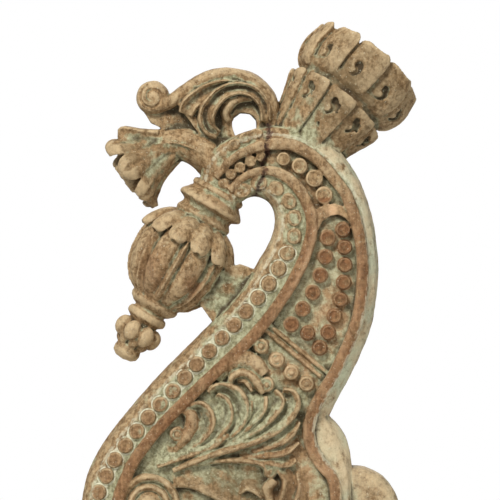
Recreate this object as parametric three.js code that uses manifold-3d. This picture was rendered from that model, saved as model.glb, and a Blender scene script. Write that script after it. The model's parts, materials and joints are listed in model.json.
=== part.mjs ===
// A carved wooden bracket: a swan-necked strut that bends over at the top and ends in a hanging bud.
// One block of wood, carved in the round: beaded borders, a sunk panel of leaves, a crown of petals
// above the bend, an open flower and a rolled leaf over the bud.
// Millimetres, +Z up, the carved show side towards -Y. The origin is the middle of the flat-cut foot.
import * as THREE from "three";
import { mergeVertices } from "three/addons/utils/BufferGeometryUtils.js";
import Module from "manifold-3d";

const wasm = await Module();
wasm.setup();

// Depths from the middle plane of the plank.
const EDGE = 22; // half thickness of the plain outer edge
const FACE = 36; // the beaded border
const RIM = 42; // crown of the plain rims
const GROUND = 29; // floor of the sunk panel
const BURIED = 2; // how far an added piece is let into what carries it

// Plain rims beside the sunk panel.
const RIM_HALF = 5.2;
const SILL = 16; // height of the plain band left across the foot

// Discs and beads.
const BORDER_BEAD = { radius: 7.4, pitch: 17.6, rise: 4.5 };
const PANEL_DISC = { radius: 7.2, rise: 8 };
const ROW_BEAD = { radius: 7.6, rise: 10 };
const DISC_SIDES = 7;

// The neck grows thin towards the collar of the bud, from THIN_FAR to THIN_NEAR away from it.
const COLLAR = { x: -29, z: 365 };
const THIN_NEAR = 26;
const THIN_FAR = 84;
const THIN_LEAST = 0.62;

// Turned and petalled pieces: where each one starts and which way its axis points.
const BUD = { x: COLLAR.x, z: COLLAR.z, towards: [-0.5, -0.866], depth: 1 };
const CROWN = { x: 71.5, z: 438, towards: [0.634, 0.773], depth: 0.86 };
const FLOWER = { x: -77, z: 421, towards: [-0.93, -0.36], depth: 0.95 };

const flat = (x, z, y = 0) => new THREE.Vector3(x, y, z);
const curveOf = (points) =>
  new THREE.CatmullRomCurve3(points.map(([x, z]) => flat(x, z)), false, "centripetal");

// Geometry and solids

function geometryOf(points, faces) {
  const geometry = new THREE.BufferGeometry().setFromPoints(points);
  geometry.setIndex(faces.flat());
  return geometry;
}

// A closed solid through rings that all have the same number of points; cap triangles close both ends.
function loft(rings, cap) {
  const count = rings[0].length;
  const faces = [];
  for (let i = 0; i + 1 < rings.length; i++) {
    for (let j = 0; j < count; j++) {
      const a = i * count + j;
      const b = i * count + ((j + 1) % count);
      faces.push([a, b, b + count], [a, b + count, a + count]);
    }
  }
  const fan = cap ?? Array.from({ length: count - 2 }, (_, j) => [0, j + 1, j + 2]);
  const last = (rings.length - 1) * count;
  for (const [a, b, c] of fan) {
    faces.push([c, b, a], [a + last, b + last, c + last]);
  }
  return geometryOf(rings.flat(), faces);
}

function signedVolume(position, index) {
  const [a, b, c] = [new THREE.Vector3(), new THREE.Vector3(), new THREE.Vector3()];
  let six = 0;
  for (let i = 0; i < index.length; i += 3) {
    a.fromBufferAttribute(position, index[i]);
    b.fromBufferAttribute(position, index[i + 1]);
    c.fromBufferAttribute(position, index[i + 2]);
    six += a.dot(b.cross(c));
  }
  return six / 6;
}

// A manifold solid from a closed geometry, with its faces turned outwards.
function solidOf(geometry) {
  const bare = new THREE.BufferGeometry().setAttribute("position", geometry.getAttribute("position"));
  bare.setIndex(geometry.index);
  const merged = mergeVertices(bare, 1e-3);
  const triangles = [];
  const index = merged.index.array;
  for (let i = 0; i < index.length; i += 3) {
    const [a, b, c] = [index[i], index[i + 1], index[i + 2]];
    if (a !== b && b !== c && c !== a) triangles.push(a, b, c);
  }
  if (signedVolume(merged.attributes.position, triangles) < 0) triangles.reverse();
  return new wasm.Manifold(
    new wasm.Mesh({
      numProp: 3,
      vertProperties: merged.attributes.position.array,
      triVerts: new Uint32Array(triangles),
    }),
  );
}

const joined = (geometries) => geometries.map(solidOf).reduce((whole, piece) => whole.add(piece));

// A bar along a curve in the plane of the plank.
// section(t) lists its corners as [across, out from the middle].
function bar(curve, steps, section, side = -1) {
  const rings = [];
  for (let i = 0; i <= steps; i++) {
    const t = i / steps;
    const at = curve.getPointAt(t);
    const along = curve.getTangentAt(t);
    const corner = ([across, out]) =>
      flat(at.x - along.z * across, at.z + along.x * across, side * out);
    rings.push(section(t).map(corner));
  }
  return loft(rings);
}

// A value read off an even list of stations from 0 to 1.
function station(values, t) {
  const at = Math.min(t, 0.9999) * (values.length - 1);
  const low = Math.floor(at);
  return THREE.MathUtils.lerp(values[low], values[low + 1], at - low);
}

function plateBetween(outline, near, far) {
  const shape = new THREE.Shape(outline.map(([x, z]) => new THREE.Vector2(x, z)));
  const geometry = new THREE.ExtrudeGeometry(shape, { depth: far - near, bevelEnabled: false });
  return geometry.rotateX(Math.PI / 2).translate(0, -near, 0);
}

function disc(x, z, foot, top, radius, sides = DISC_SIDES) {
  const height = top - foot;
  const geometry = new THREE.CylinderGeometry(radius, radius * 0.86, height, sides);
  return geometry.translate(0, -(foot + height / 2), 0).translate(x, 0, z);
}

// Sets a piece made about the local Y axis, with local +X as its front, on its own axis in the bracket.
function aim(geometry, place) {
  const axis = flat(place.towards[0], place.towards[1]).normalize();
  const front = new THREE.Vector3(0, -1, 0);
  const basis = new THREE.Matrix4().makeBasis(front, axis, front.clone().cross(axis));
  geometry.applyMatrix4(basis);
  return geometry.scale(1, place.depth, 1).translate(place.x, 0, place.z);
}

const BROAD = [1, 0, 0]; // a narrow gap beside a flat petal

// A turned piece with petals carved round it. Rows are [radius, height] on a petal, then the change of
// radius and of height in the gap between two petals; the pattern says how deep each column is in a gap.
function turned(rows, petals = 8, pattern = [0, 1], offset = 0) {
  const profile = rows.map(([r, t]) => new THREE.Vector2(r, t));
  const geometry = new THREE.LatheGeometry(profile, petals * pattern.length, Math.PI / 2 - offset);
  const position = geometry.attributes.position;
  for (let i = 0; i < position.count; i++) {
    const [r, t, gapRadius = 0, gapHeight = 0] = rows[i % rows.length];
    const gap = pattern[Math.floor(i / rows.length) % pattern.length];
    const scale = r === 0 ? 1 : 1 + (gapRadius * gap) / r;
    position.setXYZ(i, position.getX(i) * scale, t + gapHeight * gap, position.getZ(i) * scale);
  }
  return geometry;
}

// The plank: each row holds a point of the outer edge and its partner on the carved face.

const BACK_RUN = [
  [-40, 392, -35, 389], [-34, 410, -29, 406], [-22, 424, -18, 418], [-6, 433, -3, 426],
  [10, 439, 12, 431], [30, 443, 31, 433], [60, 443, 57, 424], [82, 434, 76, 416],
  [102, 415, 92, 401], [120, 386, 103, 380], [131, 354, 111, 357], [137, 315, 118, 320],
  [136, 275, 118, 277], [128, 237, 111, 238], [112, 200, 97, 204], [98, 174, 83, 176],
  [88, 155, 75, 154],
];
const SHOULDER_RUN = [
  [88, 155, 75, 154], [98, 145, 73, 142], [106, 132, 76, 127], [109, 120, 83, 114],
  [111, 107, 94, 101],
];
const FOOT_RUN = [[112, 90, 99, 90], [112, 0, 99, 0]];
const FRONT_RUN = [
  [-156, 0, -147, 0], [-158, 40, -149, 40], [-157, 70, -148, 69], [-151, 98, -142, 95],
  [-139, 123, -130, 118], [-117, 153, -109, 147], [-88, 187, -81, 180], [-50, 226, -43, 219],
  [-24, 252, -17, 245], [0, 279, 7, 273], [18, 308, 25, 304], [30, 329, 37, 326],
  [35, 348, 43, 348], [32, 363, 39, 367], [23, 372, 27, 379], [10, 373, 12, 380],
  [0, 367, -4, 374], [-8, 358, -12, 364],
];

function outlinePairs() {
  const runs = [[BACK_RUN, 32], [SHOULDER_RUN, 6], [FOOT_RUN, 1], [FRONT_RUN, 34]];
  const pairs = runs.flatMap(([run, steps]) => {
    const edge = curveOf(run.map(([x, z]) => [x, z])).getPoints(steps);
    const face = curveOf(run.map(([, , x, z]) => [x, z])).getPoints(steps);
    return edge.map((point, i) => [point, face[i]]);
  });
  return pairs.filter(([point], i) => i === 0 || point.distanceTo(pairs[i - 1][0]) > 0.5);
}

function plank() {
  const pairs = outlinePairs();
  const ring = (which, y) => pairs.map((pair) => flat(pair[which].x, pair[which].z, y));
  const faceOutline = pairs.map(([, face]) => new THREE.Vector2(face.x, face.z));
  const cap = THREE.ShapeUtils.triangulateShape(faceOutline, []).map(([a, b, c]) => [c, b, a]);
  return loft([ring(1, -FACE), ring(0, -EDGE), ring(0, EDGE), ring(1, FACE)], cap);
}

// Rims, sunk panel and the discs in it

const INNER_RIM = curveOf([
  [-14, 383], [8, 398], [30, 400], [50, 390], [66, 367], [71, 343], [65, 316], [44, 275],
  [14, 236], [-32, 192], [-78, 146], [-107, 107], [-122, 66], [-126, SILL - 6],
]);
const OUTER_RIM = curveOf([
  [-24, 390], [-5, 409], [18, 422], [38, 422], [55, 419], [73, 412], [88, 397], [98, 378],
  [106, 356], [113, 320], [113, 277], [106, 239], [92, 206], [78, 178], [70, 154], [68, 141],
  [71, 125], [79, 110], [90, 97], [94, 86], [94, SILL - 6],
]);

function rim(curve, steps, side) {
  const crown = () => [
    [-RIM_HALF, GROUND - BURIED], [-RIM_HALF, RIM - 3], [-RIM_HALF / 2, RIM],
    [RIM_HALF / 2, RIM], [RIM_HALF, RIM - 3], [RIM_HALF, GROUND - BURIED],
  ];
  const square = () => [
    [-RIM_HALF, GROUND - BURIED], [-RIM_HALF * 0.7, RIM], [RIM_HALF * 0.7, RIM],
    [RIM_HALF, GROUND - BURIED],
  ];
  return bar(curve, steps, side < 0 ? crown : square, side);
}

function sunkPanel(side) {
  const inner = INNER_RIM.getSpacedPoints(26).filter((p) => p.z >= SILL);
  const outer = OUTER_RIM.getSpacedPoints(26).filter((p) => p.z >= SILL);
  const left = inner.map((p) => [p.x, p.z]);
  const right = outer.map((p) => [p.x, p.z]).reverse();
  const outline = [...left, [left.at(-1)[0], SILL], [right[0][0], SILL], ...right];
  const cut = plateBetween(outline, GROUND, RIM + 6);
  return side < 0 ? cut : cut.rotateZ(Math.PI).scale(-1, 1, 1);
}

// Evenly spaced points on a curve, a pitch apart or a stated number of them.
const spaced = (curve, count) => curve.getSpacedPoints(count - 1);

function borderBeads() {
  const line = curveOf([
    [3, 379], [17, 386], [33, 382], [46, 372], [53, 356], [54, 336], [46, 315], [24, 280],
    [-15, 236], [-64, 183], [-112, 128], [-132, 97], [-142, 65], [-144, 10],
  ]);
  const count = Math.round(line.getLength() / BORDER_BEAD.pitch) + 1;
  return spaced(line, count).map((p) =>
    disc(p.x, p.z, FACE - BURIED, FACE + BORDER_BEAD.rise, BORDER_BEAD.radius));
}

function panelDiscs() {
  const columns = [
    [curveOf([[87, 332], [80, 298], [51, 246]]), 6, PANEL_DISC.radius],
    [curveOf([[102, 340], [104, 308], [95, 258], [79, 223]]), 8, PANEL_DISC.radius * 0.92],
    [curveOf([[67, 238], [68, 237]]), 1, PANEL_DISC.radius * 0.9],
    [curveOf([[-16, 386], [0, 402], [21, 413]]), 5, 5.4],
    [curveOf([[42, 410], [59, 403], [73, 391], [83, 375]]), 4, 7.8],
  ];
  return columns.flatMap(([line, count, radius]) =>
    (count === 1 ? [line.getPoint(0)] : spaced(line, count)).map((p) =>
      disc(p.x, p.z, GROUND - BURIED, GROUND + PANEL_DISC.rise, radius)));
}

function crossBars() {
  const ridges = [[[29, 245], [85, 200]], [[25, 240], [80, 195]]];
  return ridges.map(([from, to]) => bar(curveOf([from, to]), 1, () => [
    [-2.6, GROUND - BURIED], [-1.4, FACE], [1.4, FACE], [2.6, GROUND - BURIED],
  ]));
}

function rowBeads() {
  return spaced(curveOf([[21, 225], [66, 188]]), 4).map((p) =>
    disc(p.x, p.z, GROUND - BURIED, GROUND + ROW_BEAD.rise, ROW_BEAD.radius));
}

function archLip() {
  const outline = [
    [72, 358], [82, 364], [93, 366], [106, 362], [109, 346], [101, 353], [90, 354], [82, 349], [76, 338],
  ];
  return plateBetween(outline, GROUND - BURIED, FACE);
}

// Leaves of the panel: each lobe is a line, half widths along it and how high it stands off the ground.
const LEAF_LOBES = [
  {
    line: [[-68, 106], [-20, 121], [15, 134], [40, 152], [52, 168], [46, 179]],
    half: [4, 8, 10, 11, 8, 3],
    rise: 11,
  },
  { line: [[-35, 126], [-8, 140], [14, 158], [22, 172]], half: [3, 6, 6, 2], rise: 10 },
  { line: [[-26, 132], [-6, 147], [8, 166]], half: [3, 5, 2], rise: 8 },
  { line: [[-12, 118], [25, 127], [59, 146]], half: [3, 7, 2], rise: 8 },
  {
    line: [[-72, 118], [-40, 131], [-18, 143], [-3, 160], [-4, 176], [-22, 183]],
    half: [3, 6, 8, 8, 6, 2],
    rise: 12,
  },
  { line: [[-54, 130], [-34, 142], [-23, 158], [-28, 175]], half: [3, 6, 6, 2], rise: 9 },
  { line: [[-60, 132], [-46, 146], [-40, 164]], half: [3, 5, 2], rise: 8 },
  { line: [[-77, 123], [-62, 128], [-55, 140], [-67, 146]], half: [2, 5, 5, 2], rise: 9 },
  { line: [[-18, 196], [-8, 207], [6, 208], [18, 198], [27, 183]], half: [4, 8, 9, 8, 4], rise: 11 },
  { line: [[36, 183], [49, 183], [57, 166]], half: [2, 5, 2], rise: 9 },
  { line: [[-62, 100], [-30, 110], [5, 111], [23, 100]], half: [3, 6, 6, 2], rise: 10 },
  { line: [[-60, 94], [-32, 93], [2, 73]], half: [4, 10, 3], rise: 9 },
  { line: [[50, 115], [36, 95], [22, 64]], half: [3, 8, 4], rise: 10 },
  { line: [[60, 110], [52, 86], [40, 54]], half: [3, 8, 4], rise: 11 },
  { line: [[-62, 66], [-15, 54], [24, 28]], half: [4, 10, 3], rise: 10 },
  { line: [[-66, 54], [-42, 40], [-24, 24]], half: [4, 8, 3], rise: 9 },
  { line: [[32, 56], [48, 40], [70, 30]], half: [3, 8, 3], rise: 9 },
];
const LOBE_SPREAD = 1.3;
const ROSETTE = { x: -90, z: 68, ring: 20, tube: 5 };

function leafLobe({ line, half, rise }) {
  return bar(curveOf(line), line.length, (t) => {
    const w = LOBE_SPREAD * station(half, t);
    const top = GROUND + rise * (0.45 + 0.55 * Math.sin(Math.PI * Math.min(1, 0.2 + 0.75 * t)));
    return [[-w, GROUND - BURIED], [-0.45 * w, top], [0.45 * w, top], [w, GROUND - BURIED]];
  });
}

function rosette() {
  const ring = new THREE.TorusGeometry(ROSETTE.ring, ROSETTE.tube, 5, 14);
  const dome = new THREE.SphereGeometry(ROSETTE.ring - ROSETTE.tube, 8, 4).scale(1, 1, 0.5);
  return [ring, dome].map((piece) =>
    piece.rotateX(Math.PI / 2).translate(ROSETTE.x, -GROUND - 2, ROSETTE.z));
}

// The hanging bud, turned about its own axis and then carved

const GORES = 8;
const CAP_PETALS = 12;
const TIP_PETALS = 7;

function bud() {
  const collar = turned([
    [0, -34], [20, -34], [22, -19], [27, -17], [27, -12], [24, -10], [33, -4], [34, 2], [27, 9],
    [29, 13], [29, 18], [0, 24],
  ]);
  const body = turned([
    [0, 18], [28, 22], [38, 32, 1], [44, 44, 2], [46, 62, 2], [45, 76, 2], [41, 89, 2], [33, 102, 1],
    [23, 111], [0, 112],
  ], GORES);
  const cap = turned([
    [0, 16], [26, 18], [39, 27, -1], [48, 46, -5, -9], [44, 48, -4, -12], [0, 30],
  ], CAP_PETALS, BROAD);
  const calyx = turned([
    [0, 106], [23, 109], [25, 114], [23, 119], [16, 122], [20, 126], [20, 132], [14, 136], [0, 138],
  ], TIP_PETALS);
  const tip = turned([
    [0, 130], [14, 134], [22, 140, -4], [26, 148, -8], [22, 158, -8, -3], [11, 161], [13, 167],
    [12, 173], [6, 176.5], [0, 177],
  ], TIP_PETALS);
  return [collar, body, cap, calyx, tip].map((piece) => aim(piece, BUD));
}

// The crown of petals above the bend and the open flower

const CROWN_PETALS = 10;
const CROWN_DOME = 0.25; // how much higher the petals stand on the broad sides than at the ends
const FLOWER_PETALS = 7;

function domed(geometry) {
  const position = geometry.attributes.position;
  for (let i = 0; i < position.count; i++) {
    const lift = THREE.MathUtils.smoothstep(position.getY(i), -10, 40);
    position.setY(i, position.getY(i) + CROWN_DOME * lift * Math.abs(position.getX(i)));
  }
  return geometry;
}

function crown() {
  const half = Math.PI / CROWN_PETALS;
  const lower = turned([
    [0, -34], [36, -34], [38, 0, -1], [50, 20, -4], [53, 33, -6], [51, 38, -7, -5], [44, 38], [0, 38],
  ], CROWN_PETALS, BROAD, half - 0.05);
  const upper = turned([
    [0, 30], [44, 34], [51, 42, -1], [61, 52, -5], [64, 67, -6], [62, 82, -7, -3], [57, 88, -8, -12],
    [46, 82, 0, -4], [0, 72],
  ], CROWN_PETALS, BROAD, half);
  return [lower, upper].map((piece) => aim(domed(piece), CROWN));
}

function flower() {
  const cup = turned([
    [0, -12], [16, -12], [17, 0], [25, 12, -2], [33, 25, -5], [36, 34, -8, -2], [35, 41, -8, -8],
    [28, 44, -6, -8], [22, 38], [0, 36],
  ], FLOWER_PETALS, BROAD, 0.2);
  const heart = turned([[0, 30], [19, 34], [23, 42, -5], [20, 51, -6, -4], [0, 46]], FLOWER_PETALS);
  return [cup, heart].map((piece) => aim(piece, FLOWER));
}

// A six-sided limb of the carving: half widths in the plane and half depths across it.
function limb(points, half, depth, steps) {
  return bar(curveOf(points), steps, (t) => {
    const w = station(half, t);
    const d = station(depth, t);
    return [[-w, 0], [-0.65 * w, d], [0.65 * w, d], [w, 0], [0.65 * w, -d], [-0.65 * w, -d]];
  });
}

const LEAF_ROLL = { x: -87, z: 472, radius: 16.5, half: 20 };

function rolledLeaf() {
  const arch = limb(
    [[28, 446], [27, 470], [18, 482], [5, 491], [-10, 495], [-25, 494], [-40, 489], [-55, 478], [-68, 469],
      [-84, 463]], [9, 9, 8, 7, 6.5, 6.5, 6.5, 7, 7, 6], [22, 24, 24, 24, 24, 24, 23, 22, 20, 16], 11);
  const lobes = [
    limb([[0, 486], [-20, 486], [-35, 481], [-46, 472], [-53, 462], [-53, 454]], [4, 5, 7, 9, 10, 7],
      [26, 28, 28, 28, 26, 20], 5),
    limb([[24, 452], [22, 466], [12, 478], [-2, 482], [-18, 478], [-29, 467], [-33, 453], [-28, 436]],
      [6, 6, 6, 6, 7, 8, 8.5, 6], [28, 30, 32, 33, 34, 33, 31, 24], 8),
    limb([[10, 471], [0, 471], [-10, 467], [-15, 458], [-14, 450]], [2, 4, 6, 6, 4],
      [24, 26, 26, 25, 20], 4),
  ];
  const roll = new THREE.CylinderGeometry(LEAF_ROLL.radius, LEAF_ROLL.radius, 2 * LEAF_ROLL.half, 16);
  return [arch, ...lobes, roll.translate(LEAF_ROLL.x, 0, LEAF_ROLL.z)];
}

function limbs() {
  const web = [
    [-98, 461], [-80, 468], [-62, 466], [-40, 460], [-18, 440], [-18, 426], [-35, 428], [-75, 440],
    [-89, 447],
  ];
  const sheet = [
    [-62, 465], [-40, 486], [-10, 492], [18, 478], [26, 462], [26, 438], [17, 438], [16, 450], [10, 456],
    [0, 457], [-8, 451], [-8, 443], [-5, 434], [-20, 424], [-35, 428], [-55, 455],
  ];
  const strut = [[-14, 302], [0, 306], [16, 300], [0, 268], [-26, 247], [-40, 266]];
  return [
    plateBetween(web, -14, 14),
    plateBetween(sheet, -18, 18),
    plateBetween(strut, -20, 20),
    limb([[-20, 405], [-44, 422], [-62, 426], [-84, 420]], [18, 18, 17, 15], [28, 26, 22, 19], 5),
    limb([[-82, 412], [-91, 388], [-83, 358]], [13, 9, 5], [16, 14, 10], 3),
  ];
}

const VOLUTE = { x: 113, z: 58, radius: 46, half: 24, round: 8 };

function volute() {
  const profile = [
    [0, -VOLUTE.half], [VOLUTE.radius - VOLUTE.round, -VOLUTE.half],
    [VOLUTE.radius, VOLUTE.round - VOLUTE.half], [VOLUTE.radius, VOLUTE.half - VOLUTE.round],
    [VOLUTE.radius - VOLUTE.round, VOLUTE.half], [0, VOLUTE.half],
  ];
  return turned(profile, 14).translate(VOLUTE.x, 0, VOLUTE.z);
}

// The whole bracket as one solid

// Brings the neck in towards the middle plane as it nears the collar.
function thinNeck(geometry) {
  const position = geometry.attributes.position;
  for (let i = 0; i < position.count; i++) {
    const [x, y, z] = [position.getX(i), position.getY(i), position.getZ(i)];
    const away = Math.hypot(x - COLLAR.x, z - COLLAR.z);
    const nearCollar = 1 - THREE.MathUtils.smoothstep(away, THIN_NEAR, THIN_FAR);
    const aboveBud = THREE.MathUtils.smoothstep(z, COLLAR.z - 40, COLLAR.z);
    position.setY(i, y * (1 - (1 - THIN_LEAST) * nearCollar * aboveBud));
  }
  return geometry;
}

function carvedPlank() {
  const relief = [
    ...[INNER_RIM, OUTER_RIM].flatMap((curve) => [rim(curve, 24, -1), rim(curve, 20, 1)]),
    ...borderBeads(),
    ...panelDiscs(),
    ...crossBars(),
    ...rowBeads(),
    archLip(),
    ...LEAF_LOBES.map(leafLobe),
    ...rosette(),
  ];
  const sunk = [-1, 1].map((side) => solidOf(sunkPanel(side)));
  const board = sunk.reduce((wood, cut) => wood.subtract(cut), solidOf(plank()));
  return solidOf(thinNeck(geometryFrom(board.add(joined(relief)))));
}

function geometryFrom(solid) {
  const mesh = solid.getMesh();
  const geometry = new THREE.BufferGeometry();
  geometry.setAttribute("position", new THREE.BufferAttribute(mesh.vertProperties, 3));
  geometry.setIndex(new THREE.BufferAttribute(mesh.triVerts, 1));
  geometry.computeVertexNormals();
  return geometry;
}

const whole = carvedPlank().add(
  joined([...bud(), ...crown(), ...flower(), ...rolledLeaf(), ...limbs(), volute()]));

const wood = new THREE.MeshStandardMaterial({ color: 0x93765a, roughness: 0.85, metalness: 0 });
const bracket = new THREE.Mesh(geometryFrom(whole), wood);
bracket.name = "carved_bracket";

const group = new THREE.Group();
group.add(bracket);
export default group;
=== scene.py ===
# %% [markdown]
# # A carved wooden bracket
# One block of wood, carved in the round: a plank that bends over like a swan's neck and ends in a hanging
# bud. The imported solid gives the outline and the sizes. This lesson makes the carving that is seen up
# close. Everything is modelled at one unit to the millimetre, in the frame of the solid, and brought to
# metres at the end.

# %% Load the frame
import json
import math

import bpy
import numpy as np
from mathutils import Matrix, Vector

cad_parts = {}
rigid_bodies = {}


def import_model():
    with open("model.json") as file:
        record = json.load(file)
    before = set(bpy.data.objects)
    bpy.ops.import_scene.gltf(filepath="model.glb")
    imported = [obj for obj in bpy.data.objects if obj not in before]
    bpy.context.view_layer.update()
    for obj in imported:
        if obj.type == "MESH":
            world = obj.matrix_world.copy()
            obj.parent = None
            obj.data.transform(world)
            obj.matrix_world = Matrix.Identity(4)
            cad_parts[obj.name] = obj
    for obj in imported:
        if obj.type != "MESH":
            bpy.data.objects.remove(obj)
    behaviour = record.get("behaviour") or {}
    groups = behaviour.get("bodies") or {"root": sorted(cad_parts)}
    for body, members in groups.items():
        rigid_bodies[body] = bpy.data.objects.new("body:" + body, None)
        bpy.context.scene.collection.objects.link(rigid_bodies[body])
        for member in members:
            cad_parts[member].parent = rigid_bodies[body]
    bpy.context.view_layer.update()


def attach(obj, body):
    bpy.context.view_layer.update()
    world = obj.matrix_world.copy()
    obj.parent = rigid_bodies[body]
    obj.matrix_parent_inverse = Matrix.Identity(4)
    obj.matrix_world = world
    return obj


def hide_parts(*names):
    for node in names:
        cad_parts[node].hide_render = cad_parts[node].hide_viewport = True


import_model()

MM = 0.001

# %% [markdown]
# ## Lines and skins
# A carver draws lines on the plank first, so the first helper draws a smooth line through a few points
# and marks even stations on it. The second one is the workhorse: it adds a cylinder, cuts it into rings
# and moves each ring to its place. A rim, a leaf lobe and the whole plank are all made by it, and each
# one is a closed skin, which the later remesh needs.


# %% Smooth lines through a few points
def smooth_line(points, count):
    """Even stations on a smooth line; columns after the first two ride along."""
    p = np.array(points, float)
    knots = np.concatenate([[0], np.cumsum(np.sqrt(np.linalg.norm(np.diff(p[:, :2], axis=0), axis=1)))])
    slopes = np.gradient(p, knots, axis=0)
    dense = []
    for i in range(len(p) - 1):
        t = np.linspace(0, 1, 24, endpoint=i == len(p) - 2)[:, None]
        span = knots[i + 1] - knots[i]
        dense.append((2 * t**3 - 3 * t**2 + 1) * p[i] + (t**3 - 2 * t**2 + t) * span * slopes[i]
                     + (3 * t**2 - 2 * t**3) * p[i + 1] + (t**3 - t**2) * span * slopes[i + 1])
    dense = np.vstack(dense)
    run = np.concatenate([[0], np.cumsum(np.linalg.norm(np.diff(dense[:, :2], axis=0), axis=1))])
    even = np.linspace(0, run[-1], count)
    return np.column_stack([np.interp(even, run, column) for column in dense.T])


def length_of(points):
    line = smooth_line(points, 200)
    return float(np.linalg.norm(np.diff(line[:, :2], axis=0), axis=1).sum())


# %% A skin of rings
carving = []  # every closed form that is later fused into the one block


def turn_outward():
    """Make all faces of the active form look outward."""
    bpy.ops.object.mode_set(mode="EDIT")
    bpy.ops.mesh.select_all(action="SELECT")
    bpy.ops.mesh.normals_make_consistent(inside=False)
    bpy.ops.object.mode_set(mode="OBJECT")


def skin(name, rings, keep=True):
    """A cylinder whose rings of corners are moved to the given places."""
    rings = np.array(rings, float)
    steps, sides = rings.shape[0] - 1, rings.shape[1]
    bpy.ops.object.select_all(action="DESELECT")
    bpy.ops.mesh.primitive_cylinder_add(vertices=sides, radius=1, depth=1)
    piece = bpy.context.object
    piece.name = name
    mesh = piece.data
    if steps > 1:
        bpy.ops.object.mode_set(mode="EDIT")
        bpy.ops.mesh.select_mode(type="EDGE")
        bpy.ops.mesh.select_all(action="DESELECT")
        bpy.ops.object.mode_set(mode="OBJECT")
        for edge in mesh.edges:
            a, b = edge.vertices
            edge.select = abs(mesh.vertices[a].co.z - mesh.vertices[b].co.z) > 0.5
        bpy.ops.object.mode_set(mode="EDIT")
        bpy.ops.mesh.subdivide(number_cuts=steps - 1)
        bpy.ops.object.mode_set(mode="OBJECT")
    for vertex in mesh.vertices:
        ring = round((vertex.co.z + 0.5) * steps)
        corner = round(math.atan2(-vertex.co.x, vertex.co.y) / (2 * math.pi) * sides) % sides
        vertex.co = rings[ring, corner]
    turn_outward()
    if keep:
        carving.append(piece)
    return piece


def across_of(line):
    """The direction across a line in the plane of the plank, at each station."""
    along = np.gradient(line[:, :2], axis=0)
    along /= np.linalg.norm(along, axis=1)[:, None]
    return np.column_stack([-along[:, 1], along[:, 0]])


def bar_along(name, line, section, side=-1, keep=True):
    """A bar on a line of (x, z) stations. section(i) lists the corners as (across, out from the middle)."""
    across = across_of(line)
    rings = []
    for i in range(len(line)):
        rings.append([(line[i, 0] + across[i, 0] * a, side * out, line[i, 1] + across[i, 1] * a)
                      for a, out in section(i)])
    return skin(name, rings, keep)


def prism(name, outline, near, far, keep=True):
    """A straight-sided plate between two depths."""
    return skin(name, [[(x, -depth, z) for x, z in outline] for depth in (near, far)], keep)


# %% [markdown]
# ## The plank
# The plank has a plain outer edge at a small depth and a carved face that stands further out and lies a
# little inside it, so the sides slope. Each row below is a point of the edge and its partner on the face.
# The plank is then skinned through four rings: face, edge, edge, face.

# %% Outline of the plank
EDGE, FACE, RIM, GROUND = 22, 36, 42, 32  # half depths: plain edge, border, crown of the rims, panel floor
SILL = 16

BACK_RUN = [(-40, 392, -35, 389), (-34, 410, -29, 406), (-22, 424, -18, 418), (-6, 433, -3, 426),
            (10, 439, 12, 431), (30, 443, 31, 434), (60, 443, 59, 429), (82, 434, 80, 416),
            (102, 415, 97, 399), (120, 386, 112, 378), (131, 354, 121, 352), (137, 315, 127, 315),
            (136, 275, 126, 276), (128, 237, 117, 238), (112, 200, 101, 202), (98, 174, 85, 174),
            (88, 155, 75, 153)]
SHOULDER_RUN = [(88, 155, 75, 154), (98, 145, 73, 142), (106, 132, 76, 127), (109, 120, 83, 114),
                (111, 107, 94, 101)]
FOOT_RUN = [(112, 90, 99, 90), (112, 0, 99, 0)]
FRONT_RUN = [(-156, 0, -147, 0), (-158, 40, -149, 40), (-157, 70, -148, 69), (-151, 98, -142, 95),
             (-139, 123, -130, 118), (-117, 153, -109, 147), (-88, 187, -81, 180), (-50, 226, -43, 219),
             (-24, 252, -17, 245), (0, 279, 7, 273), (18, 308, 25, 304), (30, 329, 37, 326),
             (35, 348, 43, 348), (32, 363, 39, 367), (23, 372, 27, 379), (10, 373, 12, 380),
             (0, 367, -4, 374), (-8, 358, -12, 364)]
outline = np.vstack([smooth_line(BACK_RUN, 90)[:-1], smooth_line(SHOULDER_RUN, 14), smooth_line(FOOT_RUN, 2),
                     smooth_line(FRONT_RUN, 100)])
edge_line, face_line = outline[:, :2], outline[:, 2:]


def ring_at(line, depth):
    return [(x, depth, z) for x, z in line]


def between(a, b, share):
    return a + (b - a) * share


plank = skin("plank", [ring_at(face_line, -FACE), ring_at(between(edge_line, face_line, 0.35), -EDGE - 9),
                       ring_at(edge_line, -EDGE + 2), ring_at(edge_line, EDGE - 2),
                       ring_at(between(edge_line, face_line, 0.35), EDGE + 9), ring_at(face_line, FACE)])
print("plank outline:", len(outline), "stations")

# %% [markdown]
# ## Rims and the sunk panel
# Two plain rims run down the face. The panel between them is sunk, on the show side and on the back. The
# panel is cut with a boolean, as a carver lowers the ground, and the rims are bars with rounded
# shoulders.

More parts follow.
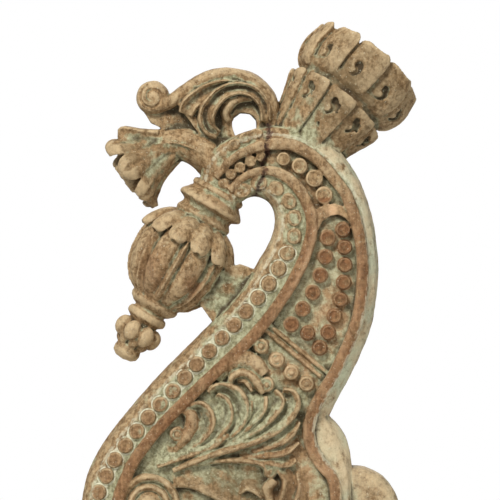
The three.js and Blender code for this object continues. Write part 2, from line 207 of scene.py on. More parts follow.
# %% Rims and panel
RIM_HALF = 5.8
inner_rim = smooth_line([(-10, 379), (1, 390), (10, 395), (20, 398), (34, 397.5), (50, 389), (66, 367),
                         (71, 343), (65, 316), (44, 275), (14, 236), (-32, 192), (-78, 146), (-107, 107),
                         (-122, 66), (-126, SILL - 6)], 150)
outer_rim = smooth_line([(-24, 392), (-14, 404), (-3, 413), (20, 422.5), (38, 425), (50, 424), (61, 420),
                         (73, 412.5), (84, 402), (93, 391), (99, 383), (105, 374), (113, 354), (118.5, 332),
                         (121, 312), (121, 289), (118, 260), (111, 236), (102, 216), (92, 196), (77, 170),
                         (70, 154), (68, 141), (71, 125), (79, 110), (90, 97), (94, 86), (94, SILL - 6)],
                         170)
rim_section = [(-1.0, GROUND - 2), (-1.0, RIM - 3), (-0.85, RIM - 1.0), (-0.5, RIM - 0.2), (0, RIM),
               (0.5, RIM - 0.2), (0.85, RIM - 1.0), (1.0, RIM - 3), (1.0, GROUND - 2), (0, GROUND - 3)]

panel = np.vstack([inner_rim[inner_rim[:, 1] > SILL], [(-126, SILL), (94, SILL)],
                   outer_rim[outer_rim[:, 1] > SILL][::-1]])
for side in (-1, 1):
    cutter = prism("panel_cutter", panel, -side * GROUND, -side * (RIM + 10), keep=False)
    cut = plank.modifiers.new("panel", "BOOLEAN")
    cut.operation, cut.solver, cut.object = "DIFFERENCE", "EXACT", cutter
    bpy.ops.object.select_all(action="DESELECT")
    plank.select_set(True)
    bpy.context.view_layer.objects.active = plank
    bpy.ops.object.modifier_apply(modifier="panel")
    bpy.data.objects.remove(cutter)
    for name, line in (("inner_rim", inner_rim), ("outer_rim", outer_rim)):
        half = RIM_HALF * np.interp(np.linspace(0, 1, len(line)), [0, 0.06, 0.12], [0.6, 0.68, 1.0])
        bar_along(name, line, lambda i: [(a * half[i], out) for a, out in rim_section], side)
print("plank faces after the panels are cut:", len(plank.data.polygons))

# %% [markdown]
# ## Beads and discs
# The border carries a string of flat beads and the sunk panel carries turned-looking discs. One of each
# is spun from a profile, and copies with their own mesh are set out along the lines.


# %% Spun forms
def spun(name, profile, steps=40, keep=True):
    """A profile of (radius, height) points spun round the upright axis."""
    mesh = bpy.data.meshes.new(name)
    mesh.from_pydata([(r, 0, t) for r, t in profile], [(i, i + 1) for i in range(len(profile) - 1)], [])
    piece = bpy.data.objects.new(name, mesh)
    bpy.context.collection.objects.link(piece)
    bpy.ops.object.select_all(action="DESELECT")
    piece.select_set(True)
    bpy.context.view_layer.objects.active = piece
    bpy.ops.object.mode_set(mode="EDIT")
    bpy.ops.mesh.select_all(action="SELECT")
    bpy.ops.mesh.spin(steps=steps, angle=2 * math.pi, center=(0, 0, 0), axis=(0, 0, 1))
    bpy.ops.mesh.select_all(action="SELECT")
    bpy.ops.mesh.remove_doubles(threshold=0.001)
    bpy.ops.mesh.normals_make_consistent(inside=False)
    bpy.ops.object.mode_set(mode="OBJECT")
    if keep:
        carving.append(piece)
    return piece


def copy_of(pattern, matrix, keep=True):
    """A copy of a form with its own mesh, put in place by a matrix."""
    piece = pattern.copy()
    piece.data = pattern.data.copy()
    piece.data.transform(matrix)
    bpy.context.collection.objects.link(piece)
    if keep:
        carving.append(piece)
    return piece


FACING = Matrix.Rotation(math.pi / 2, 4, "X")  # turns a spun form's height towards the viewer


def on_face(x, depth, z, wide=1.0, tall=1.0, turn=0.0):
    stretch = Matrix.Diagonal((wide, tall, 1, 1))
    return Matrix.Translation((x, -depth, z)) @ FACING @ Matrix.Rotation(turn, 4, "Z") @ stretch


# %% Border beads
BEAD_RADIUS = 7.4
border_line = [(3, 379), (17, 386), (33, 382), (46, 372), (53, 356), (54, 336), (46, 315), (36, 298),
               (24, 280), (10, 264), (-15, 236), (-40, 210), (-64, 183), (-89, 156), (-112, 128),
               (-124, 112), (-132, 97), (-139, 82), (-143, 65), (-145, 38), (-144, 10)]
bead_count = round(length_of(border_line) / 17.7) + 1
border_beads = smooth_line(border_line, bead_count)
border_dir = np.gradient(border_beads, axis=0)
bead = spun("bead", [(0, -3), (BEAD_RADIUS, -3), (BEAD_RADIUS, 1.8), (BEAD_RADIUS - 0.7, 3.2),
                     (BEAD_RADIUS - 1.8, 3.6), (BEAD_RADIUS - 3.2, 2.7), (BEAD_RADIUS - 4.6, 2.9),
                     (0, 3.6)], 28, keep=False)
for (x, z), (dx, dz) in zip(border_beads, border_dir):
    copy_of(bead, on_face(x, FACE, z, 1.08, 0.94, math.atan2(dz, dx)))
print("border beads:", bead_count)

# %% Panel discs, channel discs and the row of four
disc = spun("disc", [(0, -3), (1, -3), (1, 5.6), (0.93, 6.6), (0.78, 7.0), (0.68, 6.6), (0.58, 5.5),
                     (0.46, 5.4), (0.34, 6.4), (0, 6.8)], 32, keep=False)
button = spun("button", [(0, -3), (1, -3), (1, 3.5), (0.95, 6), (0.8, 7.8), (0.66, 8.0), (0.55, 6.4),
                         (0.45, 6.4), (0.3, 8.8), (0, 9.4)], 32, keep=False)
left_column = smooth_line([(87, 332), (85, 316), (80.6, 298.5), (73, 280), (63, 263.4), (51, 246.5)], 6)
right_column = smooth_line([(102, 340), (103.5, 324), (104, 309), (103, 292.5), (100.6, 276), (94.6, 258.5),
                            (88, 240), (79, 223.4)], 8)
panel_discs = [(x, z, 7.6) for x, z in left_column]
panel_discs += [(x, z, 6.9) for x, z in right_column]
panel_discs.append((67, 238, 6.6))
channel_discs = [(-16, 386, 4.8), (-9, 395.5, 5.0), (0, 402, 5.2), (10.5, 408, 5.6), (21, 412.5, 5.0),
                 (43, 410, 6.6), (59, 403, 7.8), (73.5, 391, 8.4), (83, 374, 8.6)]
row_beads = [(21, 225, 7.6), (36.4, 211.5, 7.6), (51, 199, 7.6), (65.5, 188, 7.6)]
for x, z, radius in panel_discs + channel_discs:
    copy_of(disc, on_face(x, GROUND, z, radius, radius))
for x, z, radius in row_beads:
    copy_of(button, on_face(x, GROUND, z, radius, radius))
print("discs in the panel:", len(panel_discs), "in the channel:", len(channel_discs))

# %% Lip, cross ridges and the shallow ovals on the neck
prism("arch_lip", [(72, 358), (82, 364), (93, 366), (106, 362), (109, 346), (104, 352), (97, 355),
                   (90, 354), (82, 349), (76, 338)], GROUND - 2, FACE + 1.5)
ridge_section = [(-2.4, GROUND - 2), (-1.9, FACE - 0.5), (-0.8, FACE + 0.7), (0.8, FACE + 0.7),
                 (1.9, FACE - 0.5), (2.4, GROUND - 2)]
for start, end in (((30, 245), (86, 199)), ((25, 241), (80, 195))):
    bar_along("cross_ridge", smooth_line([start, end], 8), lambda i: ridge_section)
for x, z, turn in ((-27, 401, 0.9), (-19, 412, 0.75), (-6, 424, 0.5), (6, 431, 0.35), (16, 435, 0.2)):
    copy_of(bead, on_face(x, FACE - 1.5, z, 0.95, 0.7, turn))
print("forms so far:", len(carving))

# %% [markdown]
# ## The leaf panel
# The leaves are gouge work. Each lobe is a long scoop that rises from one side to a sharp ridge on the
# other and rolls over at its tip. A lobe is a line with a half width and a height at each point, skinned
# with that section. Round lumps and knobs fill the eyes between the lobes.

# %% Leaf lobes
SCOOP = [(1.0, -0.4), (1.02, 0.2), (0.75, 0.25), (0.4, 0.38), (0.05, 0.6), (-0.25, 0.84), (-0.5, 0.98),
         (-0.75, 1.0), (-0.94, 0.82), (-1.04, -0.4), (0, -0.5)]
ROUND = [(-1.0, -0.3), (-0.94, 0.4), (-0.74, 0.75), (-0.4, 0.95), (0, 1.0), (0.4, 0.95), (0.74, 0.75),
         (0.94, 0.4), (1.0, -0.3), (0, -0.4)]
leaf_lines = []


def lobe(name, rows, section=SCOOP):
    """Rows of (x, z, half width, height above the panel floor)."""
    line = smooth_line(rows, max(12, int(length_of(rows) / 3)))
    leaf_lines.append(line)
    bar_along(name, line, lambda i: [(a * max(line[i, 2], 0.6), GROUND + h * line[i, 3]) for a, h in section])


lobe("leaf_ground", [(-68, 114, 12, 2), (-34, 130, 22, 3.6), (-4, 148, 27, 4.2), (26, 160, 21, 4),
                     (42, 172, 9, 2)], ROUND)
lobe("leaf_ground", [(0, 108, 8, 2), (28, 120, 15, 3.4), (52, 132, 11, 2)], ROUND)
lobe("main_lobe", [(-30, 116, 3, 7), (-5, 126, 5, 9), (22, 138, 7.5, 11), (42, 152, 8.5, 12),
                   (52, 166, 8, 13), (52, 177, 6, 13), (43, 181, 3, 10)])
lobe("main_lobe", [(-22, 123, 3, 6), (0, 135, 5.5, 8), (19, 148, 7, 10), (32, 160, 7, 12),
                   (39, 172, 6, 12.5), (34, 181, 3, 10)])
lobe("main_lobe", [(-15, 129, 3, 6), (0, 141, 5.5, 8), (13, 154, 6.5, 10), (22, 166, 6, 11),
                   (24, 176, 4, 10)])
lobe("main_lobe", [(-10, 137, 3, 5), (0, 149, 5, 7), (8, 161, 5, 9), (10, 171, 3, 8)])
lobe("midrib", [(-66, 102, 2.6, 8), (-45, 111, 3.6, 11), (-25, 118.5, 4, 12.5), (0, 126, 3.8, 13),
                (18, 132.5, 3.4, 13), (33, 142, 2.6, 11), (44, 153, 1.8, 8)], ROUND)
lobe("leaf_stem", [(-82, 107, 3, 5), (-50, 121, 6.5, 8), (-25, 131, 6.5, 9), (-12, 140, 4, 8)])
lobe("hood", [(-14, 133, 3, 7), (-3, 146, 6.5, 10), (2, 160, 8, 12), (-1, 174, 8, 13.5),
              (-11, 183, 6, 13.5), (-23, 184, 4.6, 11), (-31, 179, 2.4, 8)])
lobe("hood", [(-29, 131, 3, 6), (-17, 144, 6, 9), (-12, 157, 6.5, 10.5), (-15, 170, 5.6, 11),
              (-23, 177, 3, 9)])
lobe("hood", [(-52, 123, 3, 5), (-40, 133, 5.5, 8), (-31, 146, 6.5, 10), (-32, 159, 6.5, 11),
              (-40, 166, 5.4, 9.5), (-50, 163, 3.6, 7)])
lobe("hood", [(-64, 122, 3, 4), (-55, 133, 6, 6.5), (-48, 146, 7, 8), (-49, 158, 6.5, 8), (-57, 163, 4, 6)],
     ROUND)
lobe("top_hood", [(-10, 186, 2.6, 7), (-7, 195, 4.2, 10), (3, 199, 5, 12.5), (13, 194, 5.4, 12.5),
                  (20, 184, 5, 11), (23, 178, 3, 8)], ROUND)
lobe("top_hook", [(-2, 190, 2, 4), (4, 191, 2.8, 7), (9, 186, 3, 8), (12, 180, 2, 6)], ROUND)
lobe("top_leaf", [(-22, 191, 4, 4), (-14, 204, 8, 8), (0, 213, 10, 11), (14, 208, 9, 11), (24, 197, 6, 8)],
     ROUND)
lobe("low_lobe", [(12, 122, 3, 6), (33, 130, 6.5, 9), (49, 140, 6.5, 10), (58, 151, 3, 8)])
lobe("low_lobe", [(0, 117, 3, 5), (25, 120, 6, 8), (45, 123, 6, 9), (58, 131, 2.6, 7)])
lobe("low_lobe", [(12, 113, 3, 5), (30, 112, 5.5, 8), (46, 110, 5.5, 8), (55, 114, 3, 6)])
lobe("brow", [(-50, 107, 2.4, 4), (-15, 112, 3, 8.5), (10, 111, 3.2, 9.5), (23, 107, 3, 9), (27, 98, 2, 7)],
     ROUND)
lobe("broad_lobe", [(-66, 92, 7, 5), (-42, 95, 13, 8), (-20, 86, 14, 8), (-6, 74, 11, 7), (2, 62, 5, 5)])
lobe("small_lobe", [(-2, 80, 3, 5), (7, 87, 5.5, 8), (16, 84, 5.5, 9), (23, 76, 3, 6)])
lobe("right_lobe", [(38, 106, 4, 7), (48, 92, 7, 10), (46, 77, 7, 10), (36, 62, 4, 7)])
lobe("right_lobe", [(58, 100, 3, 6), (62, 85, 5.6, 9), (58, 70, 5.6, 9), (50, 52, 3, 6)])
lobe("right_lobe", [(30, 72, 4, 7), (27, 84, 6, 9), (34, 93, 5, 9)], ROUND)
lobe("foot_lobe", [(-62, 62, 4, 6), (-30, 56, 9, 9), (0, 46, 9, 9), (24, 28, 3, 5)])
lobe("foot_lobe", [(-66, 52, 4, 5), (-42, 40, 8, 8), (-24, 24, 3, 5)])
lobe("foot_lobe", [(30, 56, 3, 6), (46, 44, 8, 9), (72, 30, 3, 5)])
for x, z, radius, rise in ((-62, 138, 7.5, 8), (26, 187, 8, 10), (30, 101, 7, 9)):
    copy_of(button, on_face(x, GROUND - 1, z, radius, radius) @ Matrix.Diagonal((1, 1, rise / 10, 1)))
print("leaf lobes:", len(leaf_lines))

# %% Round boss in the corner of the panel
BOSS = (-90, 68)
boss = spun("boss", [(0, -3), (31, -3), (31, 4), (29, 8), (26.5, 8.6), (24, 6), (23, 3), (21.5, 3), (20, 7),
                     (17.5, 9), (15, 7), (14, 4), (12.5, 5), (9, 8.5), (4, 10), (0, 10.3)], 56, keep=False)
copy_of(boss, on_face(BOSS[0], GROUND, BOSS[1]))
print("boss at", BOSS)

# %% [markdown]
# ## Thinning the neck
# The neck grows thin towards the collar. The plank is remeshed first, so that its broad faces have enough
# points to bend, and then every form on it is drawn towards the middle by the same rule.


# %% Draw the neck in
def fuse(name, pieces, voxel):
    bpy.ops.object.select_all(action="DESELECT")
    for piece in pieces:
        piece.select_set(True)
    bpy.context.view_layer.objects.active = pieces[0]
    if len(pieces) > 1:
        bpy.ops.object.join()
    block = bpy.context.object
    block.name = name
    merge = block.modifiers.new("merge", "REMESH")
    merge.mode, merge.voxel_size = "VOXEL", voxel
    bpy.ops.object.modifier_apply(modifier="merge")
    return block


def points_of(mesh):
    flat = np.empty(len(mesh.vertices) * 3, np.float32)
    mesh.vertices.foreach_get("co", flat)
    return flat.reshape(-1, 3).astype(float)


def move_points(mesh, points):
    mesh.vertices.foreach_set("co", points.astype(np.float32).ravel())
    mesh.update()


def smoothstep(value, low, high):
    t = np.clip((value - low) / (high - low), 0, 1)
    return t * t * (3 - 2 * t)


COLLAR = (-29, 365)
PLANK_VOXEL, BLOCK_VOXEL = 1.3, 0.9  # grain of the two remeshes, mm
fuse("plank", [plank], PLANK_VOXEL)
for piece in carving:
    points = points_of(piece.data)
    away = np.hypot(points[:, 0] - COLLAR[0], points[:, 2] - COLLAR[1])
    near_collar = 1 - smoothstep(away, 26, 84)
    above_bud = smoothstep(points[:, 2], COLLAR[1] - 40, COLLAR[1])
    points[:, 1] *= 1 - 0.38 * near_collar * above_bud
    move_points(piece.data, points)
print("forms on the plank:", len(carving))

# %% [markdown]
# ## The hanging bud
# The bud is turned about its own slanting axis: a collar of rings, a ribbed body under a cap of round
# petals, and a small tip. Each form is made upright and then set on the axis, with its front turned to
# the viewer.


# %% Setting forms on a slanting axis
def axis_matrix(x, z, towards, depth=1.0):
    """Upright forms go onto an axis in the plane of the plank; local +X becomes the show side."""
    axis = Vector((towards[0], 0, towards[1])).normalized()
    front = Vector((0, -1, 0))
    right = axis.cross(front)
    turn = Matrix((front, right, axis)).transposed().to_4x4()
    return Matrix.Translation((x, 0, z)) @ Matrix.Diagonal((1, depth, 1, 1)) @ turn


def set_on(matrix, *pieces):
    for piece in pieces:
        piece.data.transform(matrix)


def round_the_axis(pattern, count, offset, matrix):
    """Copies of one form at even angles round an axis."""
    angles = [offset + 2 * math.pi * k / count for k in range(count)]
    return [copy_of(pattern, matrix @ Matrix.Rotation(angle, 4, "Z")) for angle in angles]


BUD = axis_matrix(COLLAR[0], COLLAR[1], (-0.5, -0.866))
GORES = 8

# %% Collar, ribbed body and tip
collar = spun("collar", [(0, -34), (19, -34), (20.5, -19), (26, -17.4), (27.8, -15.6), (27.8, -12.4),
                         (26, -10.6), (25.4, -9.6), (27.5, -8.6), (33.6, -1.4), (34.2, 0.4), (33.8, 2.6),
                         (30, 4.6), (26.6, 6.6), (26.2, 9.6), (28.4, 12.6), (29.6, 14.4), (29.4, 17),
                         (27, 19.4), (0, 22)], 84)
body = spun("bud_body", [(0, 16), (28.4, 18), (30.4, 22.5), (34.4, 28), (39.8, 35.5), (43.5, 45),
                         (45.6, 56), (46, 66), (45, 76), (42.5, 86), (38, 95.5), (31.5, 104), (24, 110.5),
                         (0, 112)], 200)
points = points_of(body.data)
angle = np.arctan2(points[:, 1], points[:, 0])
radius = np.hypot(points[:, 0], points[:, 1])
share = (angle / (2 * np.pi) * GORES) % 1.0
from_rib = np.minimum(share, 1 - share) * 2 * np.pi / GORES * np.maximum(radius, 1)
rib = 3.8 * np.exp(-((from_rib / 2.0) ** 2)) - 3.4 * np.exp(-(((from_rib - 5.0) / 2.3) ** 2))
lens = 1.8 * smoothstep(from_rib, 4, 14)
grow = (rib + lens) * smoothstep(points[:, 2], 24, 40) * (1 - smoothstep(points[:, 2], 102, 111))
points[:, :2] *= (1 + grow / np.maximum(radius, 1))[:, None]
move_points(body.data, points)
calyx = spun("calyx", [(0, 106), (20, 107), (24.5, 109.6), (25.6, 112.5), (24.4, 116), (20, 120),
                       (16.4, 121.8), (16, 123.6), (19.4, 125), (20.8, 128), (20.2, 131.5), (16, 134.4),
                       (13, 137), (12.5, 142), (0, 144)], 56)
knob = spun("knob", [(0, 150), (12, 157), (10.6, 161), (12.8, 164), (13.6, 168), (12.6, 172.5), (8.5, 176),
                     (0, 177.4)], 40)
set_on(BUD, collar, body, calyx, knob)
print("bud body:", GORES, "gores,", round(2 * float(radius.max())), "mm across")


# %% One petal from a grid
def petal_sheet(name, rows, thick, bulge, rib=0.0, tilt=0.0, power=4, columns=24):
    """Rows of (radius, height, half width). The sheet bulges and may carry a rib or tilt like a tile."""
    line = smooth_line(rows, 30)
    bpy.ops.object.select_all(action="DESELECT")
    bpy.ops.mesh.primitive_grid_add(x_subdivisions=len(line) - 1, y_subdivisions=columns, size=2)
    sheet = bpy.context.object
    sheet.name = name
    for vertex in sheet.data.vertices:
        r, t, half = line[round((vertex.co.x + 1) / 2 * (len(line) - 1))]
        v = vertex.co.y
        r = r + bulge * (1 - abs(v) ** power) + rib * math.exp(-((v / 0.16) ** 2)) + tilt * v
        turn = v * half / max(r, 6)
        vertex.co = (r * math.cos(turn), r * math.sin(turn), t)
    wall = sheet.modifiers.new("wall", "SOLIDIFY")
    wall.thickness, wall.offset = thick, 0
    bpy.ops.object.modifier_apply(modifier="wall")
    turn_outward()
    return sheet


# %% Round petals of the cap and the tip
bpy.ops.object.select_all(action="DESELECT")
bpy.ops.mesh.primitive_uv_sphere_add(segments=28, ring_count=18, radius=1)
ball = bpy.context.object


def petal_ball(radius, height, slope, size):
    """A flattened ball on a turned surface: size is (across, along, thick), slope its lean."""
    lean = Matrix.Rotation(slope, 4, "Y")
    return Matrix.Translation((radius, 0, height)) @ lean @ Matrix.Diagonal((size[2], size[0], size[1], 1))


cap_petal = petal_sheet("cap_petal", [(25, 21.5, 5.8), (33, 26, 7.6), (39, 32, 9), (43.4, 38.5, 9.6),
                                      (45.8, 43, 8.9), (47, 46, 6.8), (47.4, 47.8, 3)], 5.0, 4.4, power=2)
tip_petal = copy_of(ball, petal_ball(16.5, 147, math.radians(-2), (8.4, 10.5, 8.5)), keep=False)
under_petal = copy_of(ball, petal_ball(12.5, 157, math.radians(-18), (5.2, 7, 5)), keep=False)
cap_petals = round_the_axis(cap_petal, 12, math.pi / 12, BUD)
round_the_axis(tip_petal, 7, 0.3, BUD)
round_the_axis(under_petal, 7, 0.75, BUD)
print("bud: petals on the cap", len(cap_petals))

# %% [markdown]
# ## The crown of petals
# Above the bend stands a crown in two tiers. One petal of each tier is shaped from a grid, thickened, cut
# with a curved gouge and copied round the axis. The petals stand higher on the broad sides than at the
# ends.


# %% Gouge cuts
def rod(name, path, radii):
    """A round rod of changing thickness along a path; it serves as the mark that a gouge leaves."""
    path = np.array(path, float)
    along = np.gradient(path, axis=0)
    along /= np.linalg.norm(along, axis=1)[:, None]
    rings = []
    for place, ahead, radius in zip(path, along, radii):
        side = np.cross(ahead, (1, 0, 0))
        side /= np.linalg.norm(side)
        up = np.cross(side, ahead)
        rings.append([place + radius * (math.cos(a) * side + math.sin(a) * up)
                      for a in np.linspace(0, 2 * math.pi, 12, endpoint=False)])
    return skin(name, rings, keep=False)


def cut_with(piece, cutter):
    cut = piece.modifiers.new("cut", "BOOLEAN")
    cut.operation, cut.solver, cut.object = "DIFFERENCE", "EXACT", cutter
    bpy.ops.object.select_all(action="DESELECT")
    piece.select_set(True)
    bpy.context.view_layer.objects.active = piece
    bpy.ops.object.modifier_apply(modifier="cut")
    bpy.data.objects.remove(cutter)


def comma(piece, surface, across, height, radius, start, end, width):
    """A curved cut on a petal: surface(height) is the radius of its outer face."""
    turn = np.radians(np.linspace(start, end, 16))
    y = across + radius * np.cos(turn)
    z = height + radius * np.sin(turn)
    r = surface(z)
    path = np.column_stack([r * np.cos(y / r), r * np.sin(y / r), z])
    taper = np.interp(np.linspace(0, 1, 16), [0, 0.15, 1], [0.6, 1.0, 0.2])
    cut_with(piece, rod("gouge", path, width * taper))


# %% Two tiers of petals
CROWN = axis_matrix(71.5, 438, (0.634, 0.773), 0.86)
CROWN_PETALS = 10
CROWN_DOME = 0.25


def domed(piece):
    points = points_of(piece.data)
    points[:, 2] += CROWN_DOME * smoothstep(points[:, 2], -10, 40) * np.abs(points[:, 0])
    move_points(piece.data, points)


core = spun("crown_core", [(0, -34), (34, -34), (35, -4), (40, 10), (45, 24), (49, 33), (49.5, 38),
                           (49.5, 43), (50, 48), (50.5, 56), (51, 68), (48, 75), (36, 77), (0, 72)], 60)
LOWER_ROWS = [(34, -16, 11.0), (38, 2, 12.2), (43, 16, 13.6), (47.6, 28, 14.6), (49.4, 33, 14.4),
              (49.8, 36.5, 12.5)]
UPPER_ROWS = [(46, 45, 13.6), (51.5, 50, 15.2), (55, 57, 16.6), (57, 67, 17.2), (56, 76, 17.2),
              (55, 82, 16.6), (54.4, 86, 14.8), (54, 88, 11.0)]
lower_petal = petal_sheet("lower_petal", LOWER_ROWS, 6, 1.8, tilt=2.4)
upper_petal = petal_sheet("upper_petal", UPPER_ROWS, 7, 2.4, tilt=3.0)


def face_of(rows, proud):
    """Gives the radius of a petal's outer face at any height."""
    table = np.array(rows)
    return lambda z: np.interp(z, table[:, 1], table[:, 0]) + proud


lower_face, upper_face = face_of(LOWER_ROWS, 3.0), face_of(UPPER_ROWS, 4.4)
comma(upper_petal, upper_face, -8, 58, 6.0, 100, -110, 4.6)
comma(upper_petal, upper_face, 7, 56, 5.0, 190, 330, 2.6)
comma(lower_petal, lower_face, -5, 21, 5.0, 110, -110, 4.2)
comma(lower_petal, lower_face, 7, 25, 4.4, 150, 330, 3.2)
comma(lower_petal, lower_face, 1, 10, 4.4, 200, 350, 1.8)
upper_lip = petal_sheet("upper_lip", [(43, 43.5, 14), (48.5, 44.6, 15), (52.4, 46.6, 16),
                                      (53.6, 49.4, 16.4), (52.4, 52.4, 16.4), (48, 54, 15)], 4.5, 0.6,
                                      power=2)
for pattern, offset in ((lower_petal, 0.05), (upper_petal, 0.0), (upper_lip, 0.0)):
    for piece in round_the_axis(pattern, CROWN_PETALS, offset, Matrix.Identity(4)):
        domed(piece)
        set_on(CROWN, piece)
    bpy.data.objects.remove(pattern)
domed(core)
set_on(CROWN, core)
print("crown: two tiers of", CROWN_PETALS, "petals")

# %% [markdown]
# ## Flower, stem and rolled leaf
# Left of the neck an open flower hangs on a stout stem, and a leaf rolls over it. The flower's petals are
# grid sheets like the crown's. Stem and leaf are limbs with a round or a ridged section and their own
# depth.

# %% Flower
FLOWER = axis_matrix(-74, 422, (-0.82, -0.57), 0.95)
FLOWER_PETALS = 7
cup = spun("flower_cup", [(0, -12), (15, -12), (15.5, -2), (17, 8), (19, 18), (22, 28), (20, 36), (0, 38)],
           48)
set_on(FLOWER, cup)
outer_petal = petal_sheet("flower_petal", [(13, -8, 6), (15.5, 4, 7.2), (18.5, 16, 9), (23, 26, 11),
                                           (28.5, 34, 12.6), (32.5, 40, 12.4), (33.6, 44, 10.4),
                                           (32.6, 47, 7), (31, 48.4, 3.5)], 6, 3.8, -3.2, power=2)
inner_petal = petal_sheet("heart_petal", [(9, 24, 5.4), (12, 36, 8), (14.5, 44, 9), (14.5, 48.5, 8),
                                          (12.5, 51.5, 5)], 7, 2.6, -1.6, power=2)
round_the_axis(outer_petal, FLOWER_PETALS, 0.1, FLOWER)
round_the_axis(inner_petal, 5, 0.4, FLOWER)
for pattern in (outer_petal, inner_petal):
    bpy.data.objects.remove(pattern)
print("flower:", FLOWER_PETALS, "outer petals")

# %% Limbs
turns = np.linspace(0, 2 * math.pi, 24, endpoint=False)
OVAL = [(math.cos(a), math.sin(a)) for a in turns]
PLUMP = [(math.copysign(abs(math.cos(a)) ** 0.7, math.cos(a)),
          math.copysign(abs(math.sin(a)) ** 0.7, math.sin(a))) for a in turns]
RIDGED = [(-1.0, 0.0), (-0.96, 0.55), (-0.85, 0.9), (-0.68, 1.0), (-0.4, 0.86), (0.0, 0.8), (0.4, 0.86),
          (0.68, 1.0), (0.85, 0.9), (0.96, 0.55), (1.0, 0.0), (0.96, -0.55), (0.8, -0.9), (0.4, -1.0),
          (-0.4, -1.0), (-0.8, -0.9), (-0.96, -0.55)]


def limb(name, rows, section=OVAL):
    """Rows of (x, z, half width, half depth)."""
    line = smooth_line(rows, max(10, int(length_of(rows) / 2.5)))
    bar_along(name, line, lambda i: [(a * line[i, 2], d * line[i, 3]) for a, d in section])


limb("flower_stem", [(-16, 398, 20, 27), (-34, 416, 18.5, 26), (-52, 425, 17.5, 23), (-70, 425, 16.5, 20),
                     (-86, 419, 15.5, 18)])
limb("stem_rib", [(-38, 416, 2, 26), (-50, 422, 2.6, 26.5), (-62, 426, 2.4, 24.5), (-74, 427, 1.6, 21)])
limb("flower_tail", [(-78, 412, 12, 17), (-86, 398, 11.5, 17), (-91, 387, 10, 16), (-90, 375, 7, 13),
                     (-85, 363, 3.5, 9)])
limb("tail_lip", [(-103, 392, 3, 15), (-99, 381, 3, 16), (-93, 371, 2.6, 14), (-86, 363, 2, 10)])
limb("top_petal", [(-82, 429, 11.5, 18), (-98, 431, 10.5, 18), (-110, 434, 9.5, 17), (-118, 436, 8, 14),
                   (-122, 436, 4.5, 9)], RIDGED)
limb("arch", [(30, 440, 9, 22), (29, 466, 9.5, 24), (20, 481, 9, 25), (6, 491, 8, 25),
              (-10, 494.5, 7.5, 25), (-25, 493.5, 7.5, 25), (-40, 487.5, 7.5, 24), (-55, 477.5, 7.5, 22),
              (-68, 468.5, 7.5, 20), (-84, 462, 7, 17)], PLUMP)
limb("leaf_lobe", [(2, 484, 4, 27), (-14, 484, 6, 29), (-28, 480, 7.5, 31), (-41, 472, 9, 31),
                   (-51, 462, 10, 29), (-54, 455, 8, 24)], RIDGED)
limb("leaf_lobe", [(26, 448, 6, 28), (24, 464, 6.5, 31), (14, 476, 7, 33), (0, 480, 7.5, 34),
                   (-14, 477, 8, 36), (-26, 467, 9, 37), (-33, 453, 9.5, 36), (-30, 441, 8, 31),
                   (-22, 435, 5, 26)], RIDGED)
limb("leaf_lobe", [(12, 470, 3, 25), (2, 470, 5, 28), (-8, 466, 6.5, 30), (-14, 457, 6.5, 29),
                   (-11, 448, 5, 24)], PLUMP)
prism("leaf_web", [(-98, 461), (-80, 468), (-62, 466), (-40, 460), (-18, 440), (-18, 426), (-35, 428),
                   (-75, 440), (-89, 447)], -9, 9)
prism("leaf_sheet", [(-62, 465), (-40, 486), (-10, 492), (18, 478), (26, 462), (26, 438), (17, 438),
                     (16, 450), (10, 456), (0, 457), (-8, 451), (-8, 443), (-5, 434), (-20, 424),
                     (-35, 428), (-55, 455)], -18, 18)
prism("bud_strut", [(-14, 302), (0, 306), (16, 300), (0, 268), (-26, 247), (-40, 266)], -20, 20)

# %% Rolled end of the leaf and the foot roll
LEAF_ROLL, FOOT_ROLL = (-87, 472), (113, 58)
roll = spun("leaf_roll", [(0, -21), (9, -20.5), (14, -17), (16.5, -11), (16.8, 0), (16.5, 11), (14, 17.5),
                          (10, 20.5), (0, 21)], 48)
turn = np.linspace(0.4, 3.1 * math.pi, 60)
width = np.linspace(14, 3, 60)
spiral = np.column_stack([np.full(60, 0.0), width * np.cos(turn), width * np.sin(turn)])
spiral[:, 0] = np.interp(width, [3, 10, 14], [21, 20.6, 17.6])
cutter = rod("spiral_cut", spiral, np.interp(width, [3, 8, 14], [1.6, 2.0, 2.2]))
cutter.data.transform(Matrix.Rotation(-math.pi / 2, 4, "Y"))
cut_with(roll, cutter)
set_on(Matrix.Translation((LEAF_ROLL[0], 0, LEAF_ROLL[1])) @ FACING, roll)
volute = spun("foot_roll", [(0, -24), (36, -24), (42, -21.5), (45.5, -16), (46.5, -8), (46.5, 8),
                            (45.5, 16), (42, 21.5), (36, 24), (0, 24)], 72)
set_on(Matrix.Translation((FOOT_ROLL[0], 0, FOOT_ROLL[1])) @ FACING, volute)
print("closed forms to fuse:", len(carving))

# %% [markdown]
# ## One block
# Everything is fused once more. A light smoothing takes the steps off the remesh, two soft displacements
# give the unevenness of hand work, and a decimation keeps the points where the carving needs them.

# %% Fuse, wear and thin out
for pattern in (bead, disc, button, boss, ball, cap_petal, tip_petal, under_petal):
    bpy.data.objects.remove(pattern)
block = fuse("bracket_carving", carving, BLOCK_VOXEL)
print("fused block:", len(block.data.vertices), "points")


def hand_work(name, grain_mm, depth_mm):
    texture = bpy.data.textures.new(name, "CLOUDS")
    texture.noise_scale = grain_mm
    texture.noise_depth = 2
    wave = block.modifiers.new(name, "DISPLACE")
    wave.texture, wave.strength, wave.mid_level, wave.texture_coords = texture, depth_mm, 0.5, "LOCAL"
    bpy.ops.object.modifier_apply(modifier=name)


soften = block.modifiers.new("soften", "SMOOTH")
soften.factor, soften.iterations = 0.5, 1
bpy.ops.object.modifier_apply(modifier="soften")
hand_work("gouge_waves", 13.0, 1.3)

